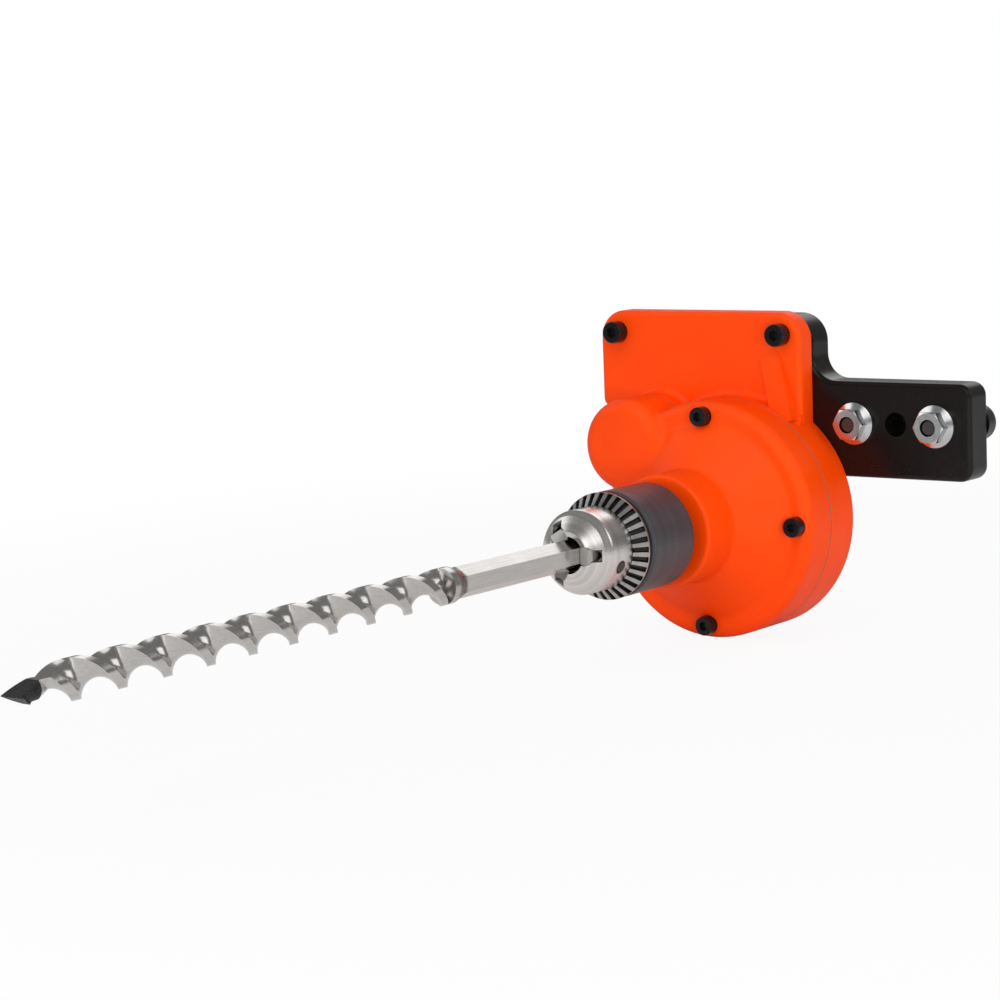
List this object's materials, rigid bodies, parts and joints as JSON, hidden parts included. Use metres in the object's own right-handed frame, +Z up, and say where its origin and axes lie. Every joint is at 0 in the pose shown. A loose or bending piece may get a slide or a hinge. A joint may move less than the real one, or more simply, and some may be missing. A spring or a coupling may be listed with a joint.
{
  "type": "chainsaw auger attachment",
  "caption": "Geared chainsaw drilling attachment: cast case on a black stud-mounted bracket, chain-driven pinion, keyed chuck and twisted auger bit.",
  "frame": {"origin": "middle of the two saw studs on the mounting plane, the back of the bar plate", "axes": "+Y along the studs, towards the saw; the spindle runs along Y and the auger points to -Y; +Z up; +X towards the outer end of the arm"},
  "size_m": [0.1865, 0.496, 0.144],
  "materials": {
    "orange_paint": "glossy powder coat",
    "gasket_sheet": "pressed fibre",
    "black_oxide": "oiled black oxide",
    "ground_steel": "ground",
    "black_gloss": "gloss black paint",
    "dark_steel": "dark oiled",
    "bright_zinc": "bright zinc",
    "gear_steel": "cut and hardened",
    "spring_steel": "blued",
    "sprocket_steel": "hardened",
    "satin_chrome": "satin",
    "sleeve_grey": "dark satin",
    "ring_steel": "bright, cut teeth",
    "auger_steel": "polished",
    "tip_black": "blackened",
    "jaw_steel": "hardened",
    "seal_rubber": "matte",
    "bearing_steel": "ground"
  },
  "bodies": {
    "gear_case": {"front_cover": "orange_paint", "rear_casing": "orange_paint", "cover_gasket": "gasket_sheet", "cover_screws": "black_oxide", "plate_screws": "black_oxide", "rear_screw": "black_oxide", "dowel_pins": "ground_steel", "mount_bracket": "black_gloss", "bar_plate": "dark_steel", "mount_studs": "dark_steel", "flange_nuts": "bright_zinc", "spindle_seal": "seal_rubber", "pinion_seal": "seal_rubber", "spindle_front_bearing_outer": "bearing_steel", "spindle_rear_bearing_outer": "bearing_steel", "pinion_front_bearing_outer": "bearing_steel", "pinion_rear_bearing_outer": "bearing_steel"},
    "spindle": {"spindle": "ground_steel", "drive_gear": "gear_steel", "gear_key": "ground_steel", "gear_circlip": "spring_steel", "spindle_front_bearing_inner": "bearing_steel", "spindle_rear_bearing_inner": "bearing_steel", "chuck_body": "satin_chrome", "chuck_screw": "black_oxide", "auger_bit": "auger_steel", "auger_tip": "tip_black"},
    "input": {"pinion_shaft": "gear_steel", "drive_sprocket": "sprocket_steel", "sprocket_key": "ground_steel", "sprocket_spacer": "ground_steel", "sprocket_washer": "bright_zinc", "sprocket_nut": "bright_zinc", "pinion_front_bearing_inner": "bearing_steel", "pinion_rear_bearing_inner": "bearing_steel"},
    "sleeve": {"chuck_sleeve": "sleeve_grey", "toothed_ring": "ring_steel", "jaw_nut": "gear_steel"},
    "jaw_one": {"jaw_1": "jaw_steel"},
    "jaw_two": {"jaw_2": "jaw_steel"},
    "jaw_three": {"jaw_3": "jaw_steel"}
  },
  "joints": [
    {"name": "spindle_turn", "type": "hinge", "parent": "gear_case", "child": "spindle", "pos_m": [-0.0755, -0.06, -0.0414], "axis": [0, 1, 0], "continuous": true},
    {"name": "input_turn", "type": "hinge", "parent": "gear_case", "child": "input", "pos_m": [-0.1162, -0.06, -0.00903], "axis": [0, 1, 0], "continuous": true},
    {"name": "sleeve_turn", "type": "hinge", "parent": "spindle", "child": "sleeve", "pos_m": [-0.0755, -0.1382, -0.0414], "axis": [0, 1, 0], "range_deg": [0, 720]},
    {"name": "jaw_one_slide", "type": "slide", "parent": "spindle", "child": "jaw_one", "axis": [0.225, 0.9744, 0], "range_m": [0, 0.0032]},
    {"name": "jaw_two_slide", "type": "slide", "parent": "spindle", "child": "jaw_two", "axis": [-0.1125, 0.9744, 0.1948], "range_m": [0, 0.0032]},
    {"name": "jaw_three_slide", "type": "slide", "parent": "spindle", "child": "jaw_three", "axis": [-0.1125, 0.9744, -0.1948], "range_m": [0, 0.0032]}
  ],
  "couplings": [
    {"joint": "input_turn", "follows": "spindle_turn", "ratio": -3},
    {"joint": "sleeve_turn", "follows": "jaw_one_slide", "rad_per_m": 3927},
    {"joint": "jaw_two_slide", "follows": "jaw_one_slide", "ratio": 1},
    {"joint": "jaw_three_slide", "follows": "jaw_one_slide", "ratio": 1}
  ]
}
